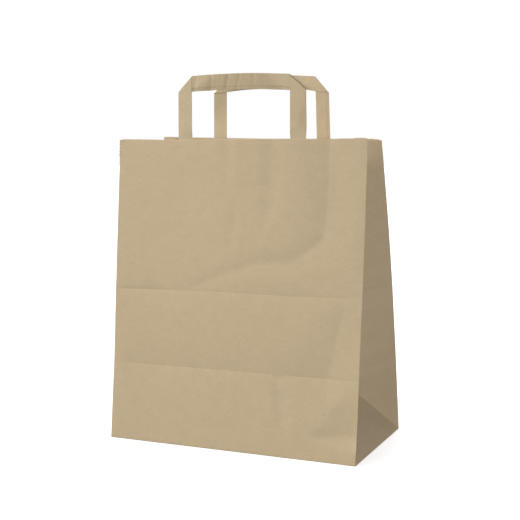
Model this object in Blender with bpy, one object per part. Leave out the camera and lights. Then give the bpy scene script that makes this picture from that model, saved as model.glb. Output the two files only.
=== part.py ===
"""Paper carrier bag: a block-bottom bag with side gussets and two flat tape handles.

Metres, +Z up. The origin is the centre of the base, and the front panel faces -Y.
"""

import collections
import math

import bmesh
import bpy
from mathutils import Vector

# Paper sizes of the bag
PANEL_WIDTH = 0.260
SIDE_WIDTH = 0.135
PANEL_HEIGHT = 0.300
PAPER = 0.00015
GAP = 0.0003

# Folds and cut edges
FOLD_ABOVE_GUSSET_FOOT = 0.009
PACKING_FOLD_HEIGHT = 0.1515
TOOTH_PITCH = 0.0025
TOOTH_DEPTH = 0.0008
RIM_BAND = 0.010
FLAP_OVERLAP = 0.022
FLAP_CHANNEL = 0.003
FLAP_INSET = 0.0002
FLAP_TOP = 1.5 * PAPER
SIDE_END_INSET = 0.001
SIDE_END_UNDERSIDE = 1.25 * PAPER
SIDE_END_TOP = 3.0 * PAPER
SEAM_WIDTH = 0.016
SEAM_FROM_EDGE = 0.020
SEAM_STEP = 0.0002

# Degrees that each upright fold leans into the bag, for each band of the panel:
# below the bottom fold, up to the packing fold, then from there to the rim
LEAN = {
    ("front", "left"): ((8.8, 8.8), (6.5, 6.3), (6.3, 6.6)),
    ("front", "right"): ((8.6, 8.0), (7.8, 7.8), (7.6, 4.9)),
    ("back", "right"): ((7.8, 8.2), (8.8, 9.4), (9.8, 15.2)),
    ("back", "left"): ((5.0, 4.6), (3.0, 2.6), (2.4, 2.0)),
}
LEAN_STEP = 0.015

# Flat tape handles, folded over at their top corners
TAPE_WIDTH = 0.0155
TAPE = 0.0005
TAPE_FOLD_GAP = 0.0001
HANDLE_RISE = 0.061
HANDLE_ARCH = 0.002
HANDLE_SPAN = 0.135
HANDLE_TAIL = 0.038
HANDLE_SHIFT = {"front": 0.003, "back": 0.0045}
HANDLE_LEAN = {"front": 2.0, "back": -1.0}

# Patches that hold the handle ends against the panels
PATCH = 0.00015
PATCH_BELOW_RIM = 0.004
PATCH_PAST_TAIL = 0.008
PATCH_PAST_LEGS = 0.014
PATCH_RAMP = 0.004

# How finely the paper is divided
PANEL_COLUMNS = 10
GUSSET_COLUMNS = 5
LOWER_ROWS = 5
MIDDLE_ROWS = 3
UPPER_ROWS = 6
BAR_COLUMNS = 8

# How far apart the points are that give the direction of a panel at one place
NEARBY = 0.001

KRAFT = (0.53, 0.42, 0.27, 1.0)
KRAFT_TAPE = (0.50, 0.40, 0.26, 1.0)
KRAFT_PATCH = (0.51, 0.41, 0.26, 1.0)

# The foot of a gusset's centre fold, and what follows from it
GUSSET_FOOT_HEIGHT = SIDE_WIDTH / 2
BOTTOM_FOLD_HEIGHT = GUSSET_FOOT_HEIGHT + FOLD_ABOVE_GUSSET_FOOT
BOTTOM_PAPER = (SIDE_WIDTH + FLAP_OVERLAP) / 2

FACING = {"front": 1.0, "back": -1.0}

# A column of the paper tube: its distance is across a panel from the left fold, or
# into a half gusset from its upright fold. The seam's columns are two papers thick.
Column = collections.namedtuple("Column", "kind face side distance lapped")


def clear_scene():
    for thing in list(bpy.data.objects):
        bpy.data.objects.remove(thing, do_unlink=True)


def kraft_material(name, colour, roughness):
    material = bpy.data.materials.new(name)
    material.use_nodes = True
    shader = material.node_tree.nodes["Principled BSDF"]
    shader.inputs["Base Color"].default_value = colour
    shader.inputs["Roughness"].default_value = roughness
    shader.inputs["Metallic"].default_value = 0.0
    return material


def object_from(name, bm, material):
    mesh = bpy.data.meshes.new(name)
    bm.normal_update()
    bm.to_mesh(mesh)
    bm.free()
    mesh.materials.append(material)
    made = bpy.data.objects.new(name, mesh)
    bpy.context.scene.collection.objects.link(made)
    return made


def thicken(sheet, thickness, offset):
    """Give a sheet its thickness: offset -1 keeps its outer face, 0 its middle."""
    wall = sheet.modifiers.new("paper", "SOLIDIFY")
    wall.thickness = thickness
    wall.offset = offset
    wall.use_even_offset = True
    wall.use_quality_normals = True


def lean_path(corner, height):
    """(inward, up) reached after going this far up the paper along an upright fold."""
    ends = (BOTTOM_FOLD_HEIGHT, PACKING_FOLD_HEIGHT, PANEL_HEIGHT)
    inward, up, start = 0.0, 0.0, 0.0
    for end, (low, high) in zip(ends, LEAN[corner]):
        last = end == PANEL_HEIGHT
        run = height - start if last else min(height, end) - start
        if run <= 0.0:
            break
        first = math.radians(low)
        turn = math.radians(high - low) * run / (end - start)
        if abs(turn) < 1e-6:
            inward += run * math.sin(first)
            up += run * math.cos(first)
        else:
            radius = run / turn
            inward += radius * (math.cos(first) - math.cos(first + turn))
            up += radius * (math.sin(first + turn) - math.sin(first))
        start = end
    return inward, up


def corner_point(face, side, height):
    """A point of an upright fold. A row of the panel keeps its width when the panel twists."""
    inward, up = lean_path((face, side), height)
    y = FACING[face] * (inward - SIDE_WIDTH / 2)
    if side == "right":
        return Vector((PANEL_WIDTH / 2, y, up + PAPER))
    other = corner_point(face, "right", height)
    drift = math.hypot(y - other.y, up + PAPER - other.z)
    return Vector((other.x - math.sqrt(PANEL_WIDTH**2 - drift**2), y, up + PAPER))


def corner_direction(face, side, height):
    """The way an upright fold runs, smoothed over the folds across the panel."""
    above = corner_point(face, side, height + LEAN_STEP)
    below = corner_point(face, side, height - LEAN_STEP)
    return (above - below).normalized()


def gusset_fold_point(side, height):
    """A point of a gusset's centre fold, half a side's width from both upright folds."""
    front = corner_point("front", side, height)
    back = corner_point("back", side, height)
    front_run = corner_direction("front", side, height)
    back_run = corner_direction("back", side, height)
    half = (back - front).length / 2
    across = (back - front).normalized()
    run = front_run + back_run
    run = (run - across * run.dot(across)).normalized()
    inward = across.cross(run)
    if (inward.x > 0) == (side == "right"):
        inward.negate()
    tilt = math.asin(max(-1.0, min(1.0, (front_run - back_run).dot(across) / 2)))
    drop = half * math.tan(tilt)
    reach = math.sqrt((SIDE_WIDTH / 2) ** 2 - half**2 - drop**2)
    return (front + back) / 2 + inward * reach - run * drop


def panel_point(face, across, height):
    """A point of a panel's outer side, across being the distance from its left fold."""
    left = corner_point(face, "left", height)
    right = corner_point(face, "right", height)
    return left.lerp(right, across / PANEL_WIDTH)


def gusset_point(face, side, from_corner, height):
    """A point of the half gusset that hangs on one upright fold.

    Below the centre fold's foot the paper past the diagonal crease lies in one
    plane, a triangle that stands on the base.
    """
    corner = corner_point(face, side, height)
    half = GUSSET_FOOT_HEIGHT
    if height >= half:
        return corner.lerp(gusset_fold_point(side, height), from_corner / half)
    foot = corner_point(face, side, 0.0)
    base_middle = Vector((foot.x, 0.0, foot.z))
    apex = gusset_fold_point(side, half)
    if from_corner >= height:
        along_base = foot.lerp(base_middle, from_corner / half)
        return along_base + (apex - base_middle) * (height / half)
    diagonal = foot.lerp(apex, height / half)
    return corner.lerp(diagonal, from_corner / height)


def steps(start, end, count):
    return [start + (end - start) * i / count for i in range(count)]


def gusset_columns(face, side, start, end):
    return [
        Column("gusset", face, side, depth, False)
        for depth in steps(start, end, GUSSET_COLUMNS)
    ]


def front_columns():
    return [
        Column("panel", "front", None, across, False)
        for across in steps(0.0, PANEL_WIDTH, PANEL_COLUMNS)
    ]


def back_columns():
    """Columns of the back panel from right to left, where the glued seam stands proud."""
    low_edge = SEAM_FROM_EDGE
    high_edge = SEAM_FROM_EDGE + SEAM_WIDTH
    plain = steps(PANEL_WIDTH, high_edge + SEAM_STEP, PANEL_COLUMNS - 2)
    places = [(across, False) for across in plain]
    places += [
        (high_edge + SEAM_STEP, False),
        (high_edge, True),
        (low_edge, True),
        (low_edge - SEAM_STEP, False),
    ]
    return [Column("panel", "back", None, *place) for place in places]


def tube_columns():
    """The paper tube's columns, once round from the front left fold."""
    half = SIDE_WIDTH / 2
    return (
        front_columns()
        + gusset_columns("front", "right", 0.0, half)
        + gusset_columns("back", "right", half, 0.0)
        + back_columns()
        + gusset_columns("back", "left", 0.0, half)
        + gusset_columns("front", "left", half, 0.0)
    )


def tube_point(column, height):
    if column.kind == "gusset":
        return gusset_point(column.face, column.side, column.distance, height)
    place = panel_point(column.face, column.distance, height)
    if column.lapped and height > 0.0:
        place -= inward_normal(column.face, column.distance, height) * PAPER
    return place


def end_of_wall(column):
    """The distance at which the next wall of the tube begins."""
    if column.kind == "panel":
        return PANEL_WIDTH if column.face == "front" else 0.0
    going_in = (column.face == "front") == (column.side == "right")
    return SIDE_WIDTH / 2 if going_in else 0.0


def between(column, after, share):
    """The column a share of the way to the next one round the tube."""
    same_wall = column[:3] == after[:3]
    end = after.distance if same_wall else end_of_wall(column)
    return column._replace(distance=column.distance + (end - column.distance) * share)


def tube_heights():
    foot = GUSSET_FOOT_HEIGHT
    rim = PANEL_HEIGHT - RIM_BAND
    heights = steps(0.0, foot, LOWER_ROWS) + [foot]
    heights += steps(BOTTOM_FOLD_HEIGHT, PACKING_FOLD_HEIGHT, MIDDLE_ROWS)
    return heights + steps(PACKING_FOLD_HEIGHT, rim, UPPER_ROWS) + [rim]


def add_tube_vert(bm, column, height):
    """A point of the tube's outer side, weighted where the seam is two papers thick."""
    vert = bm.verts.new(tube_point(column, height))
    if column.lapped and height > 0.0:
        vert[bm.verts.layers.deform.active][0] = 1.0
    return vert


def add_rim_teeth(bm, columns, top_row):
    """Carry the top row up to the rim, which the cutting knife left in small teeth."""
    count = len(columns)
    valley = PANEL_HEIGHT - TOOTH_DEPTH
    starts = [add_tube_vert(bm, column, valley) for column in columns]
    for i, column in enumerate(columns):
        j = (i + 1) % count
        reach = abs(between(column, columns[j], 1.0).distance - column.distance)
        teeth = round(reach / TOOTH_PITCH)
        outline = [starts[i]]
        for k in range(1, 2 * teeth):
            height = PANEL_HEIGHT if k % 2 else valley
            place = between(column, columns[j], k / (2 * teeth))
            outline.append(add_tube_vert(bm, place, height))
        outline.append(starts[j])
        middle = (len(outline) - 1) // 2
        for k in range(len(outline) - 1):
            foot = top_row[i] if k < middle else top_row[j]
            bm.faces.new((foot, outline[k + 1], outline[k]))
        bm.faces.new((top_row[i], top_row[j], outline[middle]))


def bag_sheet():
    """The folded paper as one sheet, its faces pointing out of the bag."""
    bm = bmesh.new()
    bm.verts.layers.deform.verify()
    columns = tube_columns()
    count = len(columns)
    rows = [
        [add_tube_vert(bm, column, height) for column in columns]
        for height in tube_heights()
    ]
    for low, high in zip(rows, rows[1:]):
        for i in range(count):
            j = (i + 1) % count
            add_cell(bm, low[i], low[j], high[j], high[i], columns[i])
    add_rim_teeth(bm, columns, rows[-1])
    middle = bm.verts.new((0.0, 0.0, PAPER))
    for i in range(count):
        bm.faces.new((rows[0][(i + 1) % count], rows[0][i], middle))
    return bm


def add_cell(bm, low_a, low_b, high_b, high_a, column):
    """One cell of the tube, split so that the gusset's diagonal crease is an edge."""
    going_in = (column.face == "front") == (column.side == "right")
    if column.kind == "panel" or going_in:
        bm.faces.new((low_a, low_b, high_b))
        bm.faces.new((low_a, high_b, high_a))
    else:
        bm.faces.new((low_a, low_b, high_a))
        bm.faces.new((low_b, high_b, high_a))


def flap_plate(face, depth, toothed):
    """A bottom flap: its ends run in at 45 degrees from the corners of the base."""
    bm = bmesh.new()
    turn = FACING[face]
    front = -SIDE_WIDTH / 2 + FLAP_INSET
    half_width = PANEL_WIDTH / 2 - FLAP_INSET
    edge_half = half_width - depth
    outline = [(-half_width, front), (half_width, front)]
    teeth = round(2 * edge_half / TOOTH_PITCH) if toothed else 0
    outline.append((edge_half, front + depth))
    for k in range(1, 2 * teeth):
        x = edge_half - k * edge_half / teeth
        outline.append((x, front + depth + TOOTH_DEPTH * (k % 2)))
    outline.append((-edge_half, front + depth))
    raise_outline(bm, [(x * turn, y * turn) for x, y in outline], 0.0, FLAP_TOP)
    return bm


def side_end_plate(side):
    """The end of a side panel, folded in flat over the bottom inside the bag."""
    bm = bmesh.new()
    half_depth = SIDE_WIDTH / 2 - SIDE_END_INSET
    wall = (PANEL_WIDTH / 2 - SIDE_END_INSET) * side
    edge = (PANEL_WIDTH / 2 - BOTTOM_PAPER) * side
    outline = [(edge, -half_depth), (wall, -half_depth), (wall, half_depth), (edge, half_depth)]
    raise_outline(bm, outline, SIDE_END_UNDERSIDE, SIDE_END_TOP)
    return bm


def raise_outline(bm, outline, bottom, top):
    plate = bm.faces.new([bm.verts.new((x, y, bottom)) for x, y in outline])
    raised = bmesh.ops.extrude_face_region(bm, geom=[plate])
    moved = [v for v in raised["geom"] if isinstance(v, bmesh.types.BMVert)]
    bmesh.ops.translate(bm, verts=moved, vec=(0.0, 0.0, top - bottom))
    bmesh.ops.recalc_face_normals(bm, faces=bm.faces[:])


def join_by_boolean(target, part):
    part.hide_render = True
    part.display_type = "WIRE"
    union = target.modifiers.new(part.name, "BOOLEAN")
    union.operation = "UNION"
    union.solver = "EXACT"
    union.object = part


def make_bag_body(material):
    body = object_from("bag_body", bag_sheet(), material)
    seam = body.vertex_groups.new(name="seam")
    thicken(body, 2.0 * PAPER, -1.0)
    body.modifiers["paper"].vertex_group = seam.name
    body.modifiers["paper"].thickness_vertex_group = 0.5
    inner_depth = SIDE_WIDTH - BOTTOM_PAPER - FLAP_CHANNEL
    plates = {
        "outer_flap": flap_plate("back", BOTTOM_PAPER, True),
        "inner_flap": flap_plate("front", inner_depth, False),
        "left_end": side_end_plate(-1),
        "right_end": side_end_plate(1),
    }
    for name, plate in plates.items():
        join_by_boolean(body, object_from(name, plate, material))
    return body


def inward_normal(face, across, height):
    """The unit normal of a panel, pointing into the bag."""
    height = min(height, PANEL_HEIGHT - NEARBY)
    above = panel_point(face, across, height + NEARBY)
    run = above - panel_point(face, across, height - NEARBY)
    width = panel_point(face, PANEL_WIDTH, height) - panel_point(face, 0.0, height)
    normal = run.cross(width).normalized()
    return normal * (FACING[face] if normal.y > 0 else -FACING[face])


def inside_panel(face, across, height, depth):
    """A point this deep inside a panel's outer side."""
    return panel_point(face, across, height) + inward_normal(face, across, height) * depth


def handle_point(face, across, rise, layer):
    """A point of the tape's middle: layer 0 is the legs, 1 the bar folded behind them."""
    depth = PAPER + GAP + TAPE / 2 + layer * (TAPE + TAPE_FOLD_GAP)
    if rise <= 0.0:
        return inside_panel(face, across, PANEL_HEIGHT + rise, depth)
    lean = math.radians(HANDLE_LEAN[face]) * FACING[face]
    foot = inside_panel(face, across, PANEL_HEIGHT, depth)
    return foot + Vector((0.0, math.sin(lean), math.cos(lean))) * rise


def handle_ends(face):
    """Where the handle's outer edges cross the rim, from the panel's left fold."""
    middle = PANEL_WIDTH / 2 + HANDLE_SHIFT[face]
    return middle - HANDLE_SPAN / 2, middle + HANDLE_SPAN / 2


def bar_arch(share):
    return HANDLE_ARCH * 4.0 * share * (1.0 - share)


def handle_sheet(face):
    """One tape: up a leg, over a 45 degree fold, along the bar and down the other leg."""
    bm = bmesh.new()
    left, right = handle_ends(face)
    low = HANDLE_RISE - TAPE_WIDTH
    leg_rises = [-HANDLE_TAIL, -HANDLE_TAIL / 2, 0.0, low / 2, low]
    corners = []
    for outer, towards in ((left, 1.0), (right, -1.0)):
        inner = outer + towards * TAPE_WIDTH
        pairs = [
            [bm.verts.new(handle_point(face, a, rise, 0)) for a in (outer, inner)]
            for rise in leg_rises
        ]
        for below, above in zip(pairs, pairs[1:]):
            bm.faces.new((below[0], below[1], above[1], above[0]))
        tip = bm.verts.new(handle_point(face, inner, HANDLE_RISE, 0))
        bm.faces.new((pairs[-1][0], pairs[-1][1], tip))
        corners.append(fold_corner(bm, face, outer, inner, pairs[-1][0], tip))
    add_bar(bm, face, left, right, corners)
    bmesh.ops.recalc_face_normals(bm, faces=bm.faces[:])
    return bm


def fold_corner(bm, face, outer, inner, outer_vert, tip_vert):
    """Turn the tape over its 45 degree fold, and return the fold's ends on the bar's layer."""
    low = HANDLE_RISE - TAPE_WIDTH
    bulge = (TAPE + TAPE_FOLD_GAP) / 2
    aside = bulge * math.copysign(math.sqrt(0.5), outer - inner)
    rise = bulge * math.sqrt(0.5)
    round_low = bm.verts.new(handle_point(face, outer + aside, low + rise, 0.5))
    round_tip = bm.verts.new(handle_point(face, inner + aside, HANDLE_RISE + rise, 0.5))
    bar_low = bm.verts.new(handle_point(face, outer, low, 1))
    bar_tip = bm.verts.new(handle_point(face, inner, HANDLE_RISE, 1))
    bm.faces.new((outer_vert, tip_vert, round_tip, round_low))
    bm.faces.new((round_low, round_tip, bar_tip, bar_low))
    return bar_low, bar_tip


def add_bar(bm, face, left, right, corners):
    """The bar between the two folds, bowed up a little in the middle."""
    (left_low, left_tip), (right_low, right_tip) = corners
    inner_left = left + TAPE_WIDTH
    inner_right = right - TAPE_WIDTH
    low = HANDLE_RISE - TAPE_WIDTH
    tops = [left_tip]
    bottoms = [bm.verts.new(handle_point(face, inner_left, low, 1))]
    for i in range(1, BAR_COLUMNS):
        share = i / BAR_COLUMNS
        across = inner_left + (inner_right - inner_left) * share
        lift = bar_arch(share)
        tops.append(bm.verts.new(handle_point(face, across, HANDLE_RISE + lift, 1)))
        bottoms.append(bm.verts.new(handle_point(face, across, low + lift, 1)))
    tops.append(right_tip)
    bottoms.append(bm.verts.new(handle_point(face, inner_right, low, 1)))
    bm.faces.new((left_low, bottoms[0], left_tip))
    bm.faces.new((right_low, right_tip, bottoms[-1]))
    for i in range(BAR_COLUMNS):
        bm.faces.new((bottoms[i], bottoms[i + 1], tops[i + 1], tops[i]))


def make_handle(face, material):
    handle = object_from(face + "_handle", handle_sheet(face), material)
    thicken(handle, TAPE, 0.0)
    return handle


def patch_columns(face):
    """(distance across, whether the patch stands off there to clear a handle leg)."""
    left, right = handle_ends(face)
    columns = [(left - PATCH_PAST_LEGS, False)]
    for outer, inner in ((left, left + TAPE_WIDTH), (right - TAPE_WIDTH, right)):
        columns += [
            (outer - GAP - PATCH_RAMP, False),
            (outer - GAP, True),
            (inner + GAP, True),
            (inner + GAP + PATCH_RAMP, False),
        ]
    columns.append((right + PATCH_PAST_LEGS, False))
    return columns


def patch_rows():
    """(distance below the rim, whether the handle legs reach that far down)."""
    return [
        (PATCH_BELOW_RIM, True),
        (HANDLE_TAIL / 2, True),
        (HANDLE_TAIL + GAP, True),
        (HANDLE_TAIL + GAP + PATCH_RAMP, False),
        (HANDLE_TAIL + PATCH_PAST_TAIL, False),
    ]


def patch_sheet(face):
    """The reinforcing patch, formed over both handle ends and down onto the panel."""
    bm = bmesh.new()
    flat = PAPER + GAP + PATCH / 2
    rows = []
    for below, by_legs in patch_rows():
        row = []
        for across, over_leg in patch_columns(face):
            depth = flat + (TAPE + GAP if by_legs and over_leg else 0.0)
            row.append(bm.verts.new(inside_panel(face, across, PANEL_HEIGHT - below, depth)))
        rows.append(row)
    for upper, lower in zip(rows, rows[1:]):
        for i in range(len(upper) - 1):
            bm.faces.new((lower[i], lower[i + 1], upper[i + 1], upper[i]))
    return bm


def make_patch(face, material):
    patch = object_from(face + "_handle_patch", patch_sheet(face), material)
    thicken(patch, PATCH, 0.0)
    return patch


def main():
    clear_scene()
    make_bag_body(kraft_material("bag_kraft", KRAFT, 0.85))
    tape = kraft_material("handle_kraft", KRAFT_TAPE, 0.82)
    patch = kraft_material("patch_kraft", KRAFT_PATCH, 0.88)
    for face in ("front", "back"):
        make_handle(face, tape)
        make_patch(face, patch)


main()
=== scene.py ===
"""Paper carrier bag, standing open: a block-bottom kraft bag with two flat tape handles.

Metres, +Z up. The origin is the centre of the base, and the front panel faces -Y.
"""

import collections
import functools
import math

import bmesh
import bpy
from mathutils import Matrix, Vector, noise


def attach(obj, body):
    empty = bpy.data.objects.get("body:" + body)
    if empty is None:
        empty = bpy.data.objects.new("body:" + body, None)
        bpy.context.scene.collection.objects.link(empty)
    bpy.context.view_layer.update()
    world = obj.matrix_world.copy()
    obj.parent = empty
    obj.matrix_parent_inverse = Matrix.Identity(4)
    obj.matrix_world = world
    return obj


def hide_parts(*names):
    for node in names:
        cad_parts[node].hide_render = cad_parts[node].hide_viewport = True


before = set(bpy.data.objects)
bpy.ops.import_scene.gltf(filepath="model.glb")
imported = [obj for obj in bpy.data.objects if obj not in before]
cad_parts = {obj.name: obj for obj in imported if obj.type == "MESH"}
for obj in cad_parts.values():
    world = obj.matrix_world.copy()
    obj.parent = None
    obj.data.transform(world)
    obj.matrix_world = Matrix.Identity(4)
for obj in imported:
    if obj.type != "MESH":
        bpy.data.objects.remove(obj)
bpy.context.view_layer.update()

bl_info = {
    "name": "Paper carrier bag",
    "version": (1, 0, 0),
    "blender": (4, 5, 0),
    "location": "View3D > Sidebar > Carrier bag",
    "description": "Folds a kraft paper carrier bag with flat tape handles and sets its stage",
    "category": "Add Mesh",
}

# Degrees that each upright fold leans into the bag, for each band of the panel:
# below the bottom fold, up to the packing fold, then from there to the rim
LEAN = {
    ("front", "left"): ((7.4, 7.9), (5.9, 5.7), (6.2, 7.0)),
    ("front", "right"): ((8.8, 8.0), (7.9, 7.9), (7.6, 4.9)),
    ("back", "right"): ((7.1, 7.6), (8.6, 9.4), (10.6, 16.3)),
    ("back", "left"): ((5.1, 4.7), (3.1, 2.7), (2.5, 2.1)),
}
FACING = {"front": 1.0, "back": -1.0}
# How far to each side of a place the run of a fold, and the slope of the paper, is taken
LEAN_STEP, SLOPE_STEP = 0.015, 0.001

# The mesh of the paper: how close its columns lie, where on the front they lie twice as
# close, its rows beside a fold line, and the rows between the two lines and above them
COLUMN_STEP = 0.0025
CLOSE_COLUMNS = (0.150, 0.247)
CREASE_ROWS = (-0.004, -0.0024, -0.0012, -0.0005, 0.0, 0.0005, 0.0012, 0.0024, 0.004)
MIDDLE_ROWS, UPPER_ROWS = 20, 43
# How far a fold's round reaches to each side of it, and how far the foot is pulled in
FOLD_ROUND, BOTTOM_INSET = 0.0006, 0.00018
# The back seam's free edge: how wide a step it makes, and the room around it
SEAM_EDGE, SEAM_ROOM = 0.0001, 0.0006
# Past these distances from the middle a point of the foot is at a side, or at a panel
FOOT_EDGES = (0.129, 0.067)
# Each edge of the base: the folds at its two ends, counted round the tube, and the way in
BASE_EDGES = {
    "front": (0, 1, 0, 1), "right": (1, 3, -1, 0), "back": (3, 4, 0, -1), "left": (4, 6, 1, 0)
}
# A bottom flap lies this many papers above the one under it. The front flap starts and ends
# its step up onto the back one this far before that one's edge, a side flap rises at once
FLAP_RISE, FLAP_STEP, SIDE_STEP = 1.1, (0.004, 0.001), 0.004
# A free edge above this height is the rim. A face below this one, its normal at least this
# upright, is the underside
NEAR_RIM, UNDERSIDE, LEVEL_FACE = 0.28, 0.0006, 0.7
NEAR = 0.0001

# Heights of the two fold lines across the front, each by its distance from the left
LOWER_LINE = ((0.0, 0.0764), (0.125, 0.0773), (0.185, 0.0772), (0.238, 0.0768), (0.260, 0.0772))
UPPER_LINE = ((0.0, 0.1503), (0.122, 0.1524), (0.182, 0.1515), (0.260, 0.1524))

# How far each panel's rim dips (+) or rises (-), by the distance from the left
RIM_DIP = {
    "front": ((0.0, -0.0002), (0.022, 0.0), (0.045, 0.0006), (0.062, 0.0014), (0.088, 0.0014),
              (0.125, 0.0009), (0.228, 0.0009), (0.233, 0.0003), (0.260, 0.0002)),
    "back": ((0.0, 0.0), (0.040, 0.0004), (0.0755, 0.0008), (0.104, 0.0010), (0.1255, 0.0013),
             (0.147, 0.0011), (0.174, 0.0008), (0.205, 0.0), (0.250, -0.0012), (0.260, -0.0004)),
}

Wall = collections.namedtuple("Wall", "kind face side start end")
Crease = collections.namedtuple("Crease", "line depth left_width right_width power")
# The power of a crease with a round bottom in place of a sharp one
SOFT = 0.0
Column = collections.namedtuple("Column", "wall distance around share lapped")
# A line on the paper: the way across it on the paper's map, where it lies, and its tone
Line = collections.namedtuple("Line", "way low high tone")
# A lighter band along the rim: partly the paler cut edge of the paper, partly a painted highlight
# where the edge faces up to the light
RIM_EDGE_AND_HIGHLIGHT = Line(way=(0.0, 1.0), low=0.2988, high=0.31, tone=1.12)

# The grain of the paper, and its specks: how far apart, their size as a share of that, and
# how dark
GRAIN_SIZES = {
    "Fibre Width": 0.0009, "Fibre Length": 0.0030, "Cloud Size": 0.011, "Speck Chance": 0.35
}
SPECK_SPACING, SPECK_SIZE, SPECK_TONE = 0.016, 0.030, 0.72

WHITE = (1.0, 1.0, 1.0, 1.0)
FLOOR_SIZE, FLOOR_GAP = 14.0, 0.0001


def bag_sizes():
    return bpy.context.scene.carrier_bag


def handle_sizes():
    return bpy.context.scene.carrier_handles


def paper_look():
    return bpy.context.scene.carrier_paper


def stage_settings():
    return bpy.context.scene.carrier_stage


def clamp(value):
    return max(0.0, min(1.0, value))


def soft_step(value):
    value = clamp(value)
    return value * value * (3.0 - 2.0 * value)


def along_line(line, place):
    """The height of a line of (distance, height) points at one distance."""
    for (a, low), (b, high) in zip(line, line[1:]):
        if place <= b:
            return low + (high - low) * max(0.0, (place - a) / (b - a))
    return line[-1][1]


@functools.lru_cache(maxsize=None)
def lean_path(corner, height):
    """(inward, up) reached after going this far up the paper along an upright fold."""
    bag = bag_sizes()
    ends = (bag.lower_fold, bag.packing_fold, bag.panel_height)
    inward, up, start = 0.0, 0.0, 0.0
    for end, (low, high) in zip(ends, LEAN[corner]):
        last = end == ends[-1]
        run = height - start if last else min(height, end) - start
        if run <= 0.0:
            break
        first = math.radians(low)
        turn = math.radians(high - low) * run / (end - start)
        if abs(turn) < 1e-6:
            inward += run * math.sin(first)
            up += run * math.cos(first)
        else:
            radius = run / turn
            inward += radius * (math.cos(first) - math.cos(first + turn))
            up += radius * (math.sin(first + turn) - math.sin(first))
        start = end
    return inward, up


@functools.lru_cache(maxsize=None)
def corner_point(face, side, height):
    """A point of an upright fold. A row of the panel keeps its width when the panel twists."""
    bag = bag_sizes()
    inward, up = lean_path((face, side), height)
    y = FACING[face] * (inward - bag.side_width / 2)
    if side == "right":
        return Vector((bag.panel_width / 2, y, up))
    other = corner_point(face, "right", height)
    drift = math.hypot(y - other.y, up - other.z)
    return Vector((other.x - math.sqrt(bag.panel_width**2 - drift**2), y, up))


@functools.lru_cache(maxsize=None)
def corner_direction(face, side, height):
    above = corner_point(face, side, height + LEAN_STEP)
    below = corner_point(face, side, height - LEAN_STEP)
    return (above - below).normalized()


@functools.lru_cache(maxsize=None)
def gusset_fold_point(side, height):
    """A point of a gusset's centre fold, half a side's width from both upright folds."""
    front = corner_point("front", side, height)
    back = corner_point("back", side, height)
    front_run = corner_direction("front", side, height)
    back_run = corner_direction("back", side, height)
    half = (back - front).length / 2
    across = (back - front).normalized()
    run = front_run + back_run
    run = (run - across * run.dot(across)).normalized()
    inward = across.cross(run)
    if (inward.x > 0) == (side == "right"):
        inward.negate()
    tilt = math.asin(max(-1.0, min(1.0, (front_run - back_run).dot(across) / 2)))
    drop = half * math.tan(tilt)
    reach = math.sqrt((bag_sizes().side_width / 2) ** 2 - half**2 - drop**2)
    return (front + back) / 2 + inward * reach - run * drop


def gusset_point(face, side, from_corner, height):
    """A point of the half gusset that hangs on one upright fold.

    Below the centre fold's foot the paper past the diagonal crease lies in one
    plane, a triangle that stands on the base.
    """
    corner = corner_point(face, side, height)
    half = bag_sizes().side_width / 2
    if height >= half:
        return corner.lerp(gusset_fold_point(side, height), from_corner / half)
    foot = corner_point(face, side, 0.0)
    base_middle = Vector((foot.x, 0.0, foot.z))
    apex = gusset_fold_point(side, half)
    if from_corner >= height:
        along_base = foot.lerp(base_middle, from_corner / half)
        return along_base + (apex - base_middle) * (height / half)
    diagonal = foot.lerp(apex, height / half)
    return corner.lerp(diagonal, from_corner / height)


def wall_point(wall, distance, height):
    if wall.kind == "gusset":
        return gusset_point(wall.face, wall.side, distance, height)
    left = corner_point(wall.face, "left", height)
    right = corner_point(wall.face, "right", height)
    return left.lerp(right, distance / bag_sizes().panel_width)


def panel_point(face, across, height):
    return wall_point(Wall("panel", face, None, 0.0, 0.0), across, height)


def inward_normal(face, across, height):
    """The unit normal of a panel, pointing into the bag."""
    bag, step = bag_sizes(), SLOPE_STEP
    height = min(height, bag.panel_height - step)
    run = panel_point(face, across, height + step) - panel_point(face, across, height - step)
    width = panel_point(face, bag.panel_width, height) - panel_point(face, 0.0, height)
    normal = run.cross(width).normalized()
    return normal * (FACING[face] if normal.y > 0 else -FACING[face])


# Soft creases of the front panel. Points of the line are (across, height, share of the
# full size there); widths are of the flanks, left and right of the way along the line
UPPER_CREASES = (
    Crease(((0.2225, 0.302, 1.0), (0.2232, 0.270, 1.0), (0.2233, 0.245, 1.0),
            (0.2215, 0.222, 0.95), (0.2205, 0.207, 0.85), (0.2075, 0.1947, 0.65),
            (0.1883, 0.1832, 0.5), (0.1553, 0.1818, 0.4), (0.1230, 0.1710, 0.35),
            (0.0905, 0.1565, 0.3)), 0.0030, 0.037, 0.030, 1.6),
    Crease(((0.1680, 0.302, 0.9), (0.1690, 0.265, 1.0), (0.1650, 0.235, 0.8),
            (0.1590, 0.200, 0.0)), 0.0011, 0.020, 0.018, SOFT),
    Crease(((0.1230, 0.302, 0.8), (0.1230, 0.270, 1.0), (0.1240, 0.255, 0.0)),
           0.0005, 0.010, 0.011, SOFT),
    Crease(((0.1290, 0.240, 0.0), (0.1310, 0.215, 1.0), (0.1270, 0.190, 0.0)),
           0.0007, 0.010, 0.015, SOFT),
)
MIDDLE_CREASES = (
    Crease(((0.2440, 0.149, 0.0), (0.2400, 0.133, 0.4), (0.2275, 0.070, 1.05)),
           0.0027, 0.040, 0.052, 1.4),
    Crease(((0.1813, 0.0988, 0.0), (0.1813, 0.0814, 1.0)), 0.0003, 0.002, 0.002, 1.0),
)
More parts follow.
